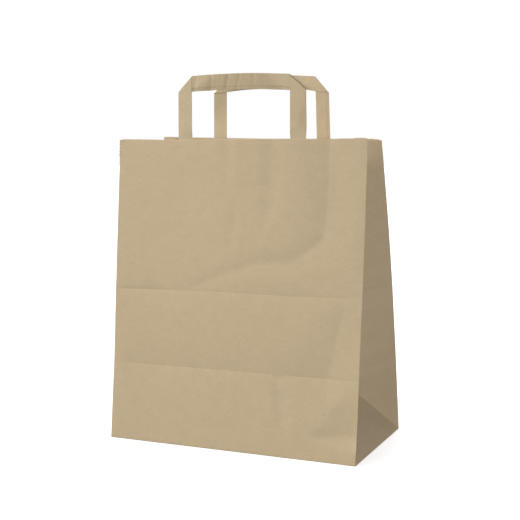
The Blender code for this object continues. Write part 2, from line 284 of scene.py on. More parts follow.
LOWER_CREASES = (
    Crease(((0.1790, 0.0745, 0.7), (0.1810, 0.0600, 1.0), (0.1850, 0.0400, 0.9),
            (0.1890, 0.0200, 0.0)), 0.0008, 0.018, 0.010, SOFT),
    Crease(((0.2210, 0.0215, 0.2), (0.2500, 0.0250, 0.85), (0.2590, 0.0262, 0.9)),
           0.0046, 0.044, 0.016, 1.0),
)

# Share of its full depth to which the upper fold line is pressed in, from the left
UPPER_PRESS = ((0.0, 1.0), (0.050, 1.0), (0.060, 0.5), (0.110, 0.4), (0.260, 0.4))

# Below the lower fold line, the dent above it dies out over this height
DENT_FADE = 0.045

# Buckles of standing paper: their size across and up the sheet, and their height. They end
# this far above the base, and this far above a gusset's diagonal crease
RIPPLES = ((0.050, 0.120, 0.0006), (0.011, 0.070, 0.00014))
RIPPLE_SEEDS = {"front": 3.0, "back": 11.0}
FOOT_FADE, DIAGONAL_FADE = 0.012, 0.010

# Depth and spread of the grooves that the fold lines press in, and how far from the upright
# folds they reach their depth
BROAD_LOWER, BROAD_UPPER, BROAD_FADE = (0.0021, 0.022), (0.0011, 0.015), 0.050
SHARP_LOWER, SHARP_UPPER, SHARP_FADE = (0.00022, 0.003), (0.0009, 0.003), 0.010
GUSSET_LOWER, GUSSET_UPPER, GUSSET_FADE = (0.0004, 0.006), (0.0007, 0.006), 0.012

# The dent at the rim beside the back right fold: its distance from the fold, how far past
# that it runs out, its depth, the height where it begins and how soon it is full
RIM_DENT_AT, RIM_DENT_END, RIM_DENT_DEPTH = 0.014, 0.030, 0.0034
RIM_DENT_FOOT, RIM_DENT_RISE = 0.276, 0.020

# Shallow bulges (+) and hollows (-): across, height, half width, half height, depth
BULGES = {
    "front": (
        (0.060, 0.110, 0.050, 0.030, 0.0004),
    ),
    "back": (
        (0.180, 0.220, 0.060, 0.060, 0.0010),
        (0.070, 0.110, 0.045, 0.035, -0.0007),
        (0.200, 0.040, 0.050, 0.030, 0.0006),
    ),
}
# How far each panel bellies out at its rim, and the share of it at each height
BELLY = {"front": 0.006, "back": 0.005}
BELLY_LEAN = {"front": 1.4, "back": 1.0}
BELLY_RISE = ((0.0, 0.0), (0.0765, 0.5), (0.1515, 0.8), (0.300, 1.0))


def crease_depth(crease, across, height, low, high):
    """How far a crease pushes the paper in at one place of a band of the panel."""
    best = None
    for a, b in zip(crease.line, crease.line[1:]):
        length = math.dist(a[:2], b[:2])
        run = ((b[0] - a[0]) / length, (b[1] - a[1]) / length)
        off = (across - a[0], height - a[1])
        way = clamp((off[0] * run[0] + off[1] * run[1]) / length)
        near = [start + (end - start) * way for start, end in zip(a, b)]
        distance = math.hypot(across - near[0], height - near[1])
        if best is None or distance < best[0]:
            best = (distance, run[0] * off[1] - run[1] * off[0], near)
    distance, turn, (near_across, near_height, share) = best
    width = share * (crease.left_width if turn > 0.0 else crease.right_width)
    if distance > 1e-6:
        for way, place, ends in (
            (across - near_across, near_across, (0.0, bag_sizes().panel_width)),
            (height - near_height, near_height, (low, high)),
        ):
            if abs(way) > 1e-6:
                room = (ends[way > 0.0] - place) / way * distance
                width = min(width, max(room, 1e-6))
    if distance >= width:
        return 0.0
    profile = 1.0 - distance / width
    profile = soft_step(profile) if crease.power == SOFT else profile**crease.power
    return crease.depth * share * profile


def line_groove(distance, depth, spread):
    """How far a fold line presses the paper in, at a distance from it."""
    return depth * math.exp(-abs(distance) / spread)


def edge_fade(distance, length, reach):
    return soft_step(min(distance, length - distance) / reach)


def ripple(u, v, seed):
    """Soft buckles of standing paper, longer up the sheet than across it."""
    return sum(
        height * noise.noise(Vector((u / across, v / up, seed + 7.3 * i)))
        for i, (across, up, height) in enumerate(RIPPLES)
    )


def front_creases(across, height, lower, upper):
    """How far the creases of the front panel press it in at one place.

    The dent above the lower fold line dies out below that line.
    """
    if height > upper:
        return sum(crease_depth(c, across, height, upper, math.inf) for c in UPPER_CREASES)
    middle = [crease_depth(c, across, max(height, lower), 0.0, upper) for c in MIDDLE_CREASES]
    if height > lower:
        return sum(middle)
    dent = middle[0] * max(0.0, 1.0 - (lower - height) / DENT_FADE)
    return dent + sum(crease_depth(c, across, height, 0.0, lower) for c in LOWER_CREASES)


def panel_offset(face, across, height, lapped):
    """How far a place of a panel stands out of its plane."""
    bag = bag_sizes()
    fade = edge_fade(across, bag.panel_width, SHARP_FADE)
    broad_fade = edge_fade(across, bag.panel_width, BROAD_FADE)
    foot = soft_step(height / FOOT_FADE)
    out = fade * foot * ripple(across, height, RIPPLE_SEEDS[face])
    belly = math.sin(math.pi * (across / bag.panel_width) ** BELLY_LEAN[face])
    out += BELLY[face] * belly * along_line(BELLY_RISE, height)
    lower, upper = bag.lower_fold, bag.packing_fold
    if face == "front":
        lower, upper = along_line(LOWER_LINE, across), along_line(UPPER_LINE, across)
    press = along_line(UPPER_PRESS, across)
    out -= broad_fade * (foot * line_groove(height - lower, *BROAD_LOWER)
                         + line_groove(height - upper, *BROAD_UPPER))
    out -= fade * (line_groove(height - lower, *SHARP_LOWER)
                   + press * line_groove(height - upper, *SHARP_UPPER))
    for middle, level, half_width, half_height, depth in BULGES[face]:
        reach = ((across - middle) / half_width) ** 2 + ((height - level) / half_height) ** 2
        out += depth * math.exp(-1.5 * reach)
    if face == "front":
        out -= front_creases(across, height, lower, upper)
    out += panel_bow(face, across, height)
    return out + bag.paper if lapped else out


def gusset_offset(face, side, distance, height):
    """How far a place of a half gusset stands out of its plane."""
    bag = bag_sizes()
    fade = edge_fade(distance, bag.side_width / 2, GUSSET_FADE)
    fade *= soft_step((height - distance) / DIAGONAL_FADE)
    seed = 17.0 + 5.0 * (face == "front") + 9.0 * (side == "left")
    out = fade * ripple(distance, height, seed)
    out -= fade * line_groove(height - bag.lower_fold, *GUSSET_LOWER)
    out -= fade * line_groove(height - bag.packing_fold, *GUSSET_UPPER)
    if (face, side) == ("back", "right"):
        past = max(0.0, 1.0 - (distance - RIM_DENT_AT) / RIM_DENT_END)
        dent = min(distance / RIM_DENT_AT, past)
        out -= RIM_DENT_DEPTH * dent * soft_step((height - RIM_DENT_FOOT) / RIM_DENT_RISE)
    return out


def inside_paper(face, across, height, depth):
    """A point this deep inside the outer side of a creased and buckled panel."""
    deep = depth - panel_offset(face, across, height, False)
    return panel_point(face, across, height) + inward_normal(face, across, height) * deep


def tube_walls():
    bag = bag_sizes()
    half = bag.side_width / 2
    return (
        Wall("panel", "front", None, 0.0, bag.panel_width),
        Wall("gusset", "front", "right", 0.0, half),
        Wall("gusset", "back", "right", half, 0.0),
        Wall("panel", "back", None, bag.panel_width, 0.0),
        Wall("gusset", "back", "left", 0.0, half),
        Wall("gusset", "front", "left", half, 0.0),
    )


def wall_distances(wall):
    """Distances of a wall's columns from its start, with closer ones at the seam's edges."""
    bag = bag_sizes()
    length = abs(wall.end - wall.start)
    count = round(length / COLUMN_STEP)
    places = [length * i / count for i in range(1, count)]
    if wall.face == "front" and wall.kind == "panel":
        low, high = CLOSE_COLUMNS
        step = length / count
        places += [p + step / 2 for p in places if low < p < high]
    if wall.face == "back" and wall.kind == "panel":
        free_edge = length - bag.seam_from_edge - bag.seam_width
        places = [p for p in places if abs(p - free_edge) > SEAM_ROOM]
        places += [free_edge, free_edge + SEAM_EDGE]
    return [FOLD_ROUND] + sorted(places) + [length - FOLD_ROUND]


def is_lapped(wall, distance):
    """Whether the tube's glued seam makes the back panel two papers thick here."""
    bag = bag_sizes()
    if wall.face != "back" or wall.kind != "panel":
        return False
    low = bag.seam_from_edge
    return low - 1e-6 < distance < low + bag.seam_width - SEAM_EDGE / 2


def tube_columns():
    """Columns of the tube, from the middle of the front left fold once round to it again.

    A column with a share lies in the round of the fold before its wall.
    """
    columns = []
    around = 0.0
    for wall in tube_walls():
        way = math.copysign(1.0, wall.end - wall.start)
        for share in (0.25, 0.5, 0.75):
            place = around + FOLD_ROUND * (2 * share - 1)
            columns.append(Column(wall, wall.start, place, share, False))
        for place in wall_distances(wall):
            distance = wall.start + way * place
            lapped = is_lapped(wall, distance)
            columns.append(Column(wall, distance, around + place, None, lapped))
        around += abs(wall.end - wall.start)
    first = columns.pop(0)
    columns.append(first._replace(around=around - FOLD_ROUND / 2))
    columns.append(columns[0]._replace(around=around))
    return columns


def tube_heights():
    """Heights of the sheet's rows: the gussets' diagonal creases run through their corners."""
    bag = bag_sizes()
    foot = bag.side_width / 2
    count = round(foot / COLUMN_STEP)
    heights = [0.0, FOLD_ROUND] + [foot * i / count for i in range(1, count + 1)]
    heights.append((foot + bag.lower_fold + CREASE_ROWS[0]) / 2)
    heights += [bag.lower_fold + row for row in CREASE_ROWS]
    start, end = heights[-1], bag.packing_fold + CREASE_ROWS[0]
    heights += [start + (end - start) * i / MIDDLE_ROWS for i in range(1, MIDDLE_ROWS)]
    heights += [bag.packing_fold + row for row in CREASE_ROWS]
    start, end = heights[-1], bag.panel_height - bag.tooth_depth
    heights += [start + (end - start) * i / UPPER_ROWS for i in range(1, UPPER_ROWS + 1)]
    return heights


def level(wall, distance, height):
    """The height up the paper of a row at one place: rows follow the fold lines."""
    bag = bag_sizes()
    foot = bag.side_width / 2
    if wall.kind == "panel":
        place, share = distance, 1.0
    else:
        place = 0.0 if wall.side == "left" else bag.panel_width
        share = 1.0 - distance / foot
    lower, upper = bag.lower_fold, bag.packing_fold
    if wall.face == "front":
        lower += (along_line(LOWER_LINE, place) - lower) * share
        upper += (along_line(UPPER_LINE, place) - upper) * share
    dip = along_line(RIM_DIP[wall.face], place) * share
    marks = ((0.0, 0.0), (foot, foot), (bag.lower_fold, lower), (bag.packing_fold, upper),
             (bag.panel_height, bag.panel_height - dip))
    for (a, low), (b, high) in zip(marks, marks[1:]):
        if height <= b:
            return low + (high - low) * (height - a) / (b - a)
    return height


def surface_normal(wall, distance, height):
    """The way out of the bag, square to a wall's paper."""
    step = SLOPE_STEP
    distance = max(step, min(max(wall.start, wall.end) - step, distance))
    way = math.copysign(step, wall.end - wall.start)
    height = max(height, step)
    run = wall_point(wall, distance, height + step) - wall_point(wall, distance, height - step)
    across = wall_point(wall, distance + way, height) - wall_point(wall, distance - way, height)
    return across.cross(run).normalized()


def paper_point(wall, distance, height, lapped=False):
    """A point of the creased and buckled paper."""
    actual = level(wall, distance, height)
    if wall.kind == "panel":
        out = panel_offset(wall.face, distance, actual, lapped)
    else:
        out = gusset_offset(wall.face, wall.side, distance, actual)
    place = wall_point(wall, distance, actual)
    if abs(out) > 1e-7:
        place = place + surface_normal(wall, distance, actual) * out
    return place


def fold_point(before, after, share, height):
    """A point in the small round of the fold between two walls."""
    back = math.copysign(FOLD_ROUND, before.start - before.end)
    on = math.copysign(FOLD_ROUND, after.end - after.start)
    a = paper_point(before, before.end + back, height)
    b = paper_point(after, after.start + on, height)
    c = wall_point(after, after.start, level(after, after.start, height))
    return a * (1 - share) ** 2 + c * 2 * share * (1 - share) + b * share**2


def edit_mode():
    bpy.ops.object.mode_set(mode="EDIT")


def object_mode():
    bpy.ops.object.mode_set(mode="OBJECT")


def paper_grid(name, columns, rows):
    """A new flat square of paper, a metre wide, with this many cells each way."""
    if name in bpy.data.objects:
        raise RuntimeError(f"{name} is there already")
    bpy.ops.object.select_all(action="DESELECT")
    bpy.ops.mesh.primitive_grid_add(x_subdivisions=columns, y_subdivisions=rows, size=1.0)
    piece = bpy.context.object
    piece.name = piece.data.name = name
    piece.data.uv_layers.active.name = "paper"
    return piece


def paper_sheet(name, step, across, along, shift=(0.0, 0.0)):
    """A flat rectangle of paper, its start and length given each way, and its map's shift."""
    (left, width), (low, length) = across, along
    piece = paper_grid(name, round(width / step[0]), round(abs(length) / step[1]))
    mesh, layer = piece.data, piece.data.uv_layers.active
    for vert in mesh.vertices:
        vert.co.x = left + (vert.co.x + 0.5) * width
        vert.co.y = low + (vert.co.y + 0.5) * length
    for loop in mesh.loops:
        place = mesh.vertices[loop.vertex_index].co
        layer.data[loop.index].uv = (place.x + shift[0], place.y + shift[1])
    return piece


def fold_tube():
    """The paper tube: a flat grid of paper, laid round the four walls and folded."""
    columns, heights = tube_columns(), tube_heights()
    tube = paper_grid("paper_bag", len(columns) - 1, len(heights) - 1)
    mesh, layer = tube.data, tube.data.uv_layers.active
    if len(mesh.vertices) != len(columns) * len(heights):
        raise RuntimeError("the grid of paper has the wrong number of points")
    walls = tube_walls()
    before = {wall: walls[i - 1] for i, wall in enumerate(walls)}
    seam = tube.vertex_groups.new(name="seam")
    for vert in mesh.vertices:
        row, i = divmod(vert.index, len(columns))
        column, height = columns[i], heights[row]
        lapped = column.lapped and row > 0
        if column.share is None:
            vert.co = paper_point(column.wall, column.distance, height, lapped)
        else:
            vert.co = fold_point(before[column.wall], column.wall, column.share, height)
        if lapped:
            seam.add([vert.index], 1.0, "REPLACE")
    for loop in mesh.loops:
        row, i = divmod(loop.vertex_index, len(columns))
        layer.data[loop.index].uv = (columns[i].around, heights[row])
    split_diagonals(mesh, columns, heights)
    return tube, columns


def split_diagonals(mesh, columns, heights):
    """Split the cells that a gusset's diagonal crease crosses, along that crease."""
    bm = bmesh.new()
    bm.from_mesh(mesh)
    bm.verts.ensure_lookup_table()
    for face in list(bm.faces):
        spots = []
        for vert in face.verts:
            row, i = divmod(vert.index, len(columns))
            column = columns[i]
            if column.wall.kind == "gusset" and abs(column.distance - heights[row]) < 1e-6:
                spots.append(vert)
        if len(spots) == 2 and bm.edges.get(spots) is None:
            bmesh.utils.face_split(face, *spots)
    bm.to_mesh(mesh)
    bm.free()


def round_bottom_edge(tube, columns):
    """Pull the bottom row in a little, where the paper turns under the bag."""
    for vert in tube.data.vertices[:len(columns)]:
        vert.co.z = BOTTOM_INSET
        for axis, edge in enumerate(FOOT_EDGES):
            if abs(vert.co[axis]) > edge:
                vert.co[axis] -= math.copysign(BOTTOM_INSET, vert.co[axis])


def bottom_rows(face):
    """(distance in from the edge, height) of the rows of one end of the tube folded under."""
    bag = bag_sizes()
    depth = (bag.side_width + bag.flap_overlap) / 2
    one_up = bag.paper * FLAP_RISE
    turned = (FOLD_ROUND, 0.0)
    if face == "back":
        return turned, (depth - bag.tooth_depth, 0.0)
    if face == "front":
        edge = bag.side_width - depth
        return turned, (edge - FLAP_STEP[0], 0.0), (edge - FLAP_STEP[1], one_up), (depth, one_up)
    return turned, (SIDE_STEP, 2 * one_up), (depth, 2 * one_up)


def pick_foot_edges(piece, first, last):
    """In edit mode, select the edges of the tube's foot between two of its columns."""
    bpy.ops.mesh.select_mode(type="EDGE")
    bpy.ops.mesh.select_all(action="DESELECT")
    bm = bmesh.from_edit_mesh(piece.data)
    for edge in bm.edges:
        edge.select_set(all(first <= vert.index <= last for vert in edge.verts))
    bmesh.update_edit_mesh(piece.data)


def fold_under(piece, columns, face):
    """Extrude one edge of the tube's foot over the bottom, with its flap's ends at 45 degrees."""
    bag = bag_sizes()
    half_width, half_depth = bag.panel_width / 2, bag.side_width / 2
    start, end, in_x, in_y = BASE_EDGES[face]
    folds = [i for i, column in enumerate(columns) if column.share == 0.5]
    rows = ((0.0, BOTTOM_INSET),) + bottom_rows(face)
    pick_foot_edges(piece, folds[start], folds[end])
    for depth, height in rows[1:]:
        bpy.ops.mesh.extrude_edges_move()
        bm = bmesh.from_edit_mesh(piece.data)
        for vert in (v for v in bm.verts if v.select):
            if in_x:
                vert.co.x = in_x * (depth - half_width)
                vert.co.z = height
            else:
                reach = max(0.0, min(depth, half_width - abs(vert.co.x)))
                vert.co.y = in_y * (reach - half_depth)
                vert.co.z = along_line(rows, reach)
        bm.verts.index_update()
        bmesh.update_edit_mesh(piece.data)


def fold_bottom(piece, columns):
    edit_mode()
    for face in BASE_EDGES:
        fold_under(piece, columns, face)
    object_mode()


def up_the_wall(edge):
    """The way on up the paper, past one edge of its rim."""
    a, b = edge.verts
    return ((a.co + b.co) / 2 - edge.link_faces[0].calc_center_median()).normalized()


def cut_teeth(bm, depth, picked, direction):
    """The small teeth that the cutting knife leaves, along the free edges in a picked place."""
    layer = bm.loops.layers.uv.active
    for edge in [e for e in bm.edges if e.is_boundary and all(picked(v.co) for v in e.verts)]:
        if edge.calc_length() < 0.8 * COLUMN_STEP:
            continue
        a, b = edge.verts
        spots = {loop.vert: loop[layer].uv.copy() for loop in edge.link_faces[0].loops}
        tip = bm.verts.new((a.co + b.co) / 2 + direction(edge) * depth)
        spots[tip] = (spots[a] + spots[b]) / 2 + Vector((0.0, depth))
        for loop in bm.faces.new((a, b, tip)).loops:
            loop[layer].uv = spots[loop.vert]


def cut_free_edges(piece):
    """Cut the teeth of the rim and of the outer bottom flap, and map the underside flat."""
    bag = bag_sizes()
    half_width, half_depth = bag.panel_width / 2, bag.side_width / 2
    flap_edge = half_depth - (bag.side_width + bag.flap_overlap) / 2 + bag.tooth_depth
    bm = bmesh.new()
    bm.from_mesh(piece.data)
    cut_teeth(bm, bag.tooth_depth, lambda co: co.z > NEAR_RIM, up_the_wall)
    cut_teeth(bm, bag.tooth_depth, lambda co: co.z < NEAR and abs(co.y - flap_edge) < NEAR,
              lambda edge: Vector((0.0, -1.0, 0.0)))
    bm.normal_update()
    layer = bm.loops.layers.uv.active
    for face in bm.faces:
        if all(v.co.z < UNDERSIDE for v in face.verts) and abs(face.normal.z) > LEVEL_FACE:
            for loop in face.loops:
                place = loop.vert.co
                loop[layer].uv = (place.x + half_width, place.y - half_depth)
    bm.to_mesh(piece.data)
    bm.free()


def close_and_turn_out(piece):
    """Merge the sheet's two ends into one tube, and make its faces point out of the bag."""
    edit_mode()
    bpy.ops.mesh.select_all(action="SELECT")
    bpy.ops.mesh.remove_doubles(threshold=0.00002)
    bpy.ops.mesh.select_all(action="SELECT")
    bpy.ops.mesh.normals_make_consistent(inside=False)
    object_mode()
    foremost = min(piece.data.polygons, key=lambda p: p.center.y)
    if foremost.normal.y > 0.0:
        piece.data.flip_normals()


def apply_modifier(piece, modifier):
    bpy.context.view_layer.objects.active = piece
    bpy.ops.object.modifier_apply(modifier=modifier.name)


def thicken(piece, thickness, offset, doubled=None):
    """Give the paper its thickness, or half of it outside a named group of doubled paper."""
    wall = piece.modifiers.new("paper", "SOLIDIFY")
    wall.thickness = thickness
    wall.offset = offset
    wall.use_quality_normals = True
    if doubled:
        wall.vertex_group = doubled
        wall.thickness_vertex_group = 0.5
    apply_modifier(piece, wall)


def finish_piece(piece, material, smooth_below):
    """Shade a piece smooth where its faces meet at less than this many degrees."""
    bpy.ops.object.select_all(action="DESELECT")
    piece.select_set(True)
    bpy.context.view_layer.objects.active = piece
    bpy.ops.object.shade_smooth_by_angle(angle=math.radians(smooth_below))
    piece.data.materials.clear()
    piece.data.materials.append(material)


# Where each handle's outer edges cross the rim, by the distance from the panel's left fold
HANDLE_ENDS = {"front": (0.0676, 0.2015), "back": (0.0636, 0.2027)}
# How steeply it bows out of the panel's plane from its left and right end, over what rise it
# does so, and how far down and by what share the panel follows
HANDLE_TURNS = {"front": (0.130, -0.050), "back": (0.01, -0.04)}
BOW_RISE, BOW_REACH, PANEL_SHARE = 0.008, 0.050, 0.45
# Degrees that it leans into the bag, and what its rise shrinks to
HANDLE_LEAN = {"front": 2.4, "back": -1.2}
HANDLE_SHRINK = {"front": 0.992, "back": 0.985}
# How far its left and right leg lean to the right (+) or left (-), as a share of their rise
LEG_LEAN = {"front": (-0.003, -0.005), "back": (0.012, -0.032)}
# Degrees that its bar turns about its top edge, its lower edge moving into the bag, and
# the distance past a fold over which it comes free to turn
BAR_TURN = {"front": 12.0, "back": -15.0}
BAR_FREE = 0.016
# Share of its width that the crimped bar loses
BAR_TUCK = {"front": 0.03, "back": 0.07}
# Bend of the bars: the rise of the back one's middle, and for the front one the share of
# its length where it is highest and how far its left and right end droop
BACK_BAR_RISE = 0.0017
FRONT_BAR_TOP, FRONT_BAR_DROOP = 0.45, (0.00085, 0.0020)
# Crimps of the front bar: across at its lower edge, slant, half width, depth
BAR_CRIMPS = ((0.0853, 0.20, 0.0018, 0.0010), (0.1018, 0.25, 0.0016, 0.0009),
              (0.1181, 0.35, 0.0014, 0.0009), (0.1302, 0.35, 0.0016, 0.0006),
              (0.1480, 0.10, 0.0018, 0.0005))
# The slanted line past which the front right leg turns in: its distance from the leg's
# outer edge at the rim, its slant and the slope past it
LEG_LINE, LEG_SLANT, LEG_SLOPE = 0.0120, 0.26, 0.11

# The cells of the tape's and the patch's mesh, and the room between the tape's own layers,
# from the bag to the tape and from the bag to the patch
TAPE_STEP, PATCH_STEP = (0.0011, 0.0012), (0.0015, 0.0015)
TAPE_GAP, BAG_GAP, PATCH_GAP = 0.0001, 0.00005, 0.00006
# The width of the step at the tape's own seam, and the round and the waves of the tape
SEAM_STEP, EDGE_ROUND, TAPE_WAVES = 0.00015, 0.00018, 0.0002
# The patch where it is formed over a leg: the run of its slope, the room beside and below
# the leg, the room over it, and the height of its ruffles
PATCH_RAMP, PATCH_ROOM, PATCH_LIFT, PATCH_RUFFLES = 0.0035, 0.0002, 0.00015, 0.00012
# On the paper's map, how far across it the tape's plain face lies from its face with the
# seam, and how far along it each handle lies
PLAIN_SHIFT = 0.1
MAP_SHIFT = {"front": 0.0, "back": 1.0}


def bar_foot():
    """How far the lower edge of a handle's bar lies above the rim."""
    return handle_sizes().rise - handle_sizes().tape_width


def handle_bow(face, across):
    """How far the handle bows out past the plane of its panel, which twists its legs."""
    left, right = HANDLE_ENDS[face]
    share = (across - left) / (right - left)
    left_turn, right_turn = HANDLE_TURNS[face]
    bow = left_turn * (share**3 - 2 * share**2 + share) + right_turn * (share**3 - share**2)
    return (right - left) * bow


def panel_bow(face, across, height):
    """How far the panel follows its handle out, near the rim."""
    left, right = HANDLE_ENDS[face]
    below = bag_sizes().panel_height - height
    if not left < across < right or below > BOW_REACH:
        return 0.0
    return PANEL_SHARE * handle_bow(face, across) * soft_step(1.0 - below / BOW_REACH)


def tape_point(face, across, rise, depth):
    """A point of a handle, depth being its distance inside the panel's outer side."""
    bag = bag_sizes()
    foot = inside_paper(face, across, min(bag.panel_height + rise, bag.panel_height), depth)
    if rise <= 0.0:
        return foot
    out = handle_bow(face, across) * soft_step(rise / BOW_RISE)
    out -= panel_bow(face, across, bag.panel_height) * soft_step(rise / BOW_RISE)
    left, right = HANDLE_ENDS[face]
    lean_left, lean_right = LEG_LEAN[face]
    sideways = lean_left + (lean_right - lean_left) * (across - left) / (right - left)
    foot = foot + Vector((sideways, 0.0, 0.0)) * rise
    lean = math.radians(HANDLE_LEAN[face]) * FACING[face]
    rise *= HANDLE_SHRINK[face]
    up = Vector((0.0, math.sin(lean), math.cos(lean)))
    return foot + up * rise + Vector((0.0, -FACING[face] * out, 0.0))


def bar_lift(face, across, rise, layer):
    """How far a handle's bar bends up or down from straight, along with the leg ends on it."""
    left, right = HANDLE_ENDS[face]
    tape = handle_sizes().tape_width
    inside = clamp((across - left - tape) / (right - left - 2 * tape))
    if face == "back":
        return BACK_BAR_RISE * 4.0 * inside * (1.0 - inside) * layer
    top = FRONT_BAR_TOP
    if inside < top:
        lift = -FRONT_BAR_DROOP[0] * (1.0 - inside / top) ** 2
    else:
        lift = -FRONT_BAR_DROOP[1] * ((inside - top) / (1.0 - top)) ** 2
    past = max(left + tape - across, across - right + tape, 0.0) / tape
    return lift * (1.0 - past) * max(layer, soft_step((rise - bar_foot()) / tape))


def bar_slack(face, across, rise, layer, start):
    """How freely the bar turns about its top edge: not at all as far as start from a fold."""
    left, right = HANDLE_ENDS[face]
    above = rise - bar_foot()
    from_fold = min(across - left - above, right - across - above) / math.sqrt(2)
    return layer * soft_step((from_fold - start) / BAR_FREE)


def leg_turn(across, rise):
    """How far the outer lower part of the front right leg turns in, along a slanted line."""
    right = HANDLE_ENDS["front"][1]
    past = across - right + LEG_LINE - LEG_SLANT * rise
    if past <= 0.0 or rise <= 0.0:
        return 0.0
    return LEG_SLOPE * past * soft_step(past / 0.004) * soft_step(rise / 0.010)


def fold_over(q, radius):
    """(distance from the fold, share of the way to the other layer) of a folded point."""
    reach = math.pi / 2 * radius
    if q <= -reach:
        return q, 0.0
    if q >= reach:
        return -q, 1.0
    turn = q / radius
    return -reach + radius * math.cos(turn), 0.5 + 0.5 * math.sin(turn)


def fold_tape(face, x, z, radius):
    """(across, rise, layer) of a point of the flat tape after its two 45 degree folds."""
    left, right = HANDLE_ENDS[face]
    low = bar_foot()
    across, rise, layer = x, z, 0.0
    for way, past in ((-1.0, (z - x) - (low - left)), (1.0, (x + z) - (right + low))):
        past /= math.sqrt(2)
        moved, share = fold_over(past, radius)
        shift = (moved - past) / math.sqrt(2)
        across += way * shift
        rise += shift
        layer -= way * share
    return across, rise, layer


def laid_point(face, x, z, radius):
    """Where a point of the flat tape lies on the handle once it is folded and crimped."""
    sizes = handle_sizes()
    across, rise, layer = fold_tape(face, x, z, radius)
    depth = bag_sizes().paper + BAG_GAP + layer * 2 * radius
    under_top = sizes.rise - rise
    if face == "front":
        for middle, slant, half, dent in BAR_CRIMPS:
            off = across - middle - slant * (sizes.tape_width - under_top)
            depth += dent * layer * math.exp(-((off / half) ** 2))
        depth += leg_turn(across, rise)
    turn = math.radians(BAR_TURN[face])
    slack = bar_slack(face, across, rise, layer, sizes.tape_width / math.sqrt(2))
    tuck = bar_slack(face, across, rise, layer, 0.0) * BAR_TUCK[face]
    lift = bar_lift(face, across, rise, layer)
    depth += slack * under_top * math.sin(turn)
    rise += under_top * (slack * (1.0 - math.cos(turn)) + tuck) + lift
    waves = TAPE_WAVES * noise.noise(Vector((x / 0.02, z / 0.02, 4.0)))
    return tape_point(face, across, rise, depth + waves * soft_step(rise / 0.01))


def cut_through(place, across):
    """In edit mode, cut a row of edges through the whole flat sheet."""
    bpy.ops.mesh.select_all(action="SELECT")
    bpy.ops.mesh.bisect(plane_co=(*place, 0.0), plane_no=(*across, 0.0))


def flat_tape(face, radius):
    """The flat tape, with rows of edges where it will be folded and along its own seam."""
    sizes = handle_sizes()
    left, right = HANDLE_ENDS[face]
    low, seam = bar_foot(), left + sizes.seam_from_edge
    start, end = -sizes.tail, 2 * low + (right - left) + sizes.tail
    piece = paper_sheet(face + "_handle_tape", TAPE_STEP, (left, sizes.tape_width),
                        (start, end - start), (-left, MAP_SHIFT[face]))
    reach = math.pi / 2 * radius
    edit_mode()
    for k in (-1.0, -0.5, 0.0, 0.5, 1.0):
        shift = k * reach * math.sqrt(2)
        cut_through((left, low + shift), (-1.0, 1.0))
        cut_through((0.0, right + low + shift), (1.0, 1.0))
    for place in (seam, seam + SEAM_STEP):
        cut_through((place, 0.0), (1.0, 0.0))
    object_mode()
    return piece


def lay_tape(face):
    """One flat tape, folded over at both top corners of the handle, with rounded edges."""
    sizes = handle_sizes()
    radius = (2 * sizes.tape_thickness + TAPE_GAP) / 2
    seam = HANDLE_ENDS[face][0] + sizes.seam_from_edge
    piece = flat_tape(face, radius)
    doubled = piece.vertex_groups.new(name="fold")
    for vert in piece.data.vertices:
        x, z = vert.co.x, vert.co.y
        if x > seam + 1e-5:
            doubled.add([vert.index], 1.0, "REPLACE")
        vert.co = laid_point(face, x, z, radius)
    count = len(piece.data.polygons)
    thicken(piece, sizes.tape_thickness, -FACING[face], "fold")
    layer = piece.data.uv_layers.active
    for plain in piece.data.polygons[:count]:
        for loop in plain.loop_indices:
            layer.data[loop].uv.x += PLAIN_SHIFT
    edge = piece.modifiers.new("rounded edges", "BEVEL")
    edge.width = EDGE_ROUND
    edge.segments = 2
    edge.limit_method = "ANGLE"
    edge.angle_limit = math.radians(60.0)
    apply_modifier(piece, edge)
    return piece


def patch_depth(face, across, below):
    """How far inside the panel's outer side the patch lies: it is formed over the legs."""
    bag, sizes = bag_sizes(), handle_sizes()
    left, right = HANDLE_ENDS[face]
    flat = bag.paper + PATCH_GAP
    over = 0.0
    for middle in (left + sizes.tape_width / 2, right - sizes.tape_width / 2):
        apart = abs(across - middle) - sizes.tape_width / 2 - PATCH_ROOM
        over = max(over, 1.0 - soft_step(apart / PATCH_RAMP))
    down = 1.0 - soft_step((below - sizes.tail - PATCH_ROOM) / PATCH_RAMP)
    ruffle = 1.0 + noise.noise(Vector((across / 0.014, below / 0.02, 31.0)))
    lift = (sizes.tape_thickness + PATCH_LIFT) * over * down
    return flat + PATCH_RUFFLES * ruffle + lift


def lay_patch(face):
    """The rectangle of paper that holds the ends of one handle."""
    bag, sizes = bag_sizes(), handle_sizes()
    left, right = HANDLE_ENDS[face]
    start, end = left - sizes.patch_margin, right + sizes.patch_margin
    top, bottom = sizes.patch_below_rim, sizes.tail + sizes.patch_past_tail
    piece = paper_sheet(face + "_patch", PATCH_STEP, (start, end - start), (bottom, top - bottom))
    for vert in piece.data.vertices:
        across, below = vert.co.x, vert.co.y
        depth = patch_depth(face, across, below)
        vert.co = inside_paper(face, across, bag.panel_height - below, depth)
    thicken(piece, bag.paper, -FACING[face])
    return piece


def add_node(tree, kind, inputs=(), **settings):
    """A new node, its inputs given as values or sockets, by name or in their order."""
    node = tree.nodes.new(kind)
    for key, value in settings.items():
        setattr(node, key, value)
    pairs = inputs.items() if isinstance(inputs, dict) else enumerate(inputs)
    for key, value in pairs:
        if isinstance(value, bpy.types.NodeSocket):
            tree.links.new(value, node.inputs[key])
        else:
            node.inputs[key].default_value = value
    return node


def compute(tree, operation, *inputs):
    return add_node(tree, "ShaderNodeMath", inputs, operation=operation).outputs[0]


def scaled(tree, colour, factor):
    inputs = {"Vector": colour, "Scale": factor}
    return add_node(tree, "ShaderNodeVectorMath", inputs, operation="SCALE").outputs[0]


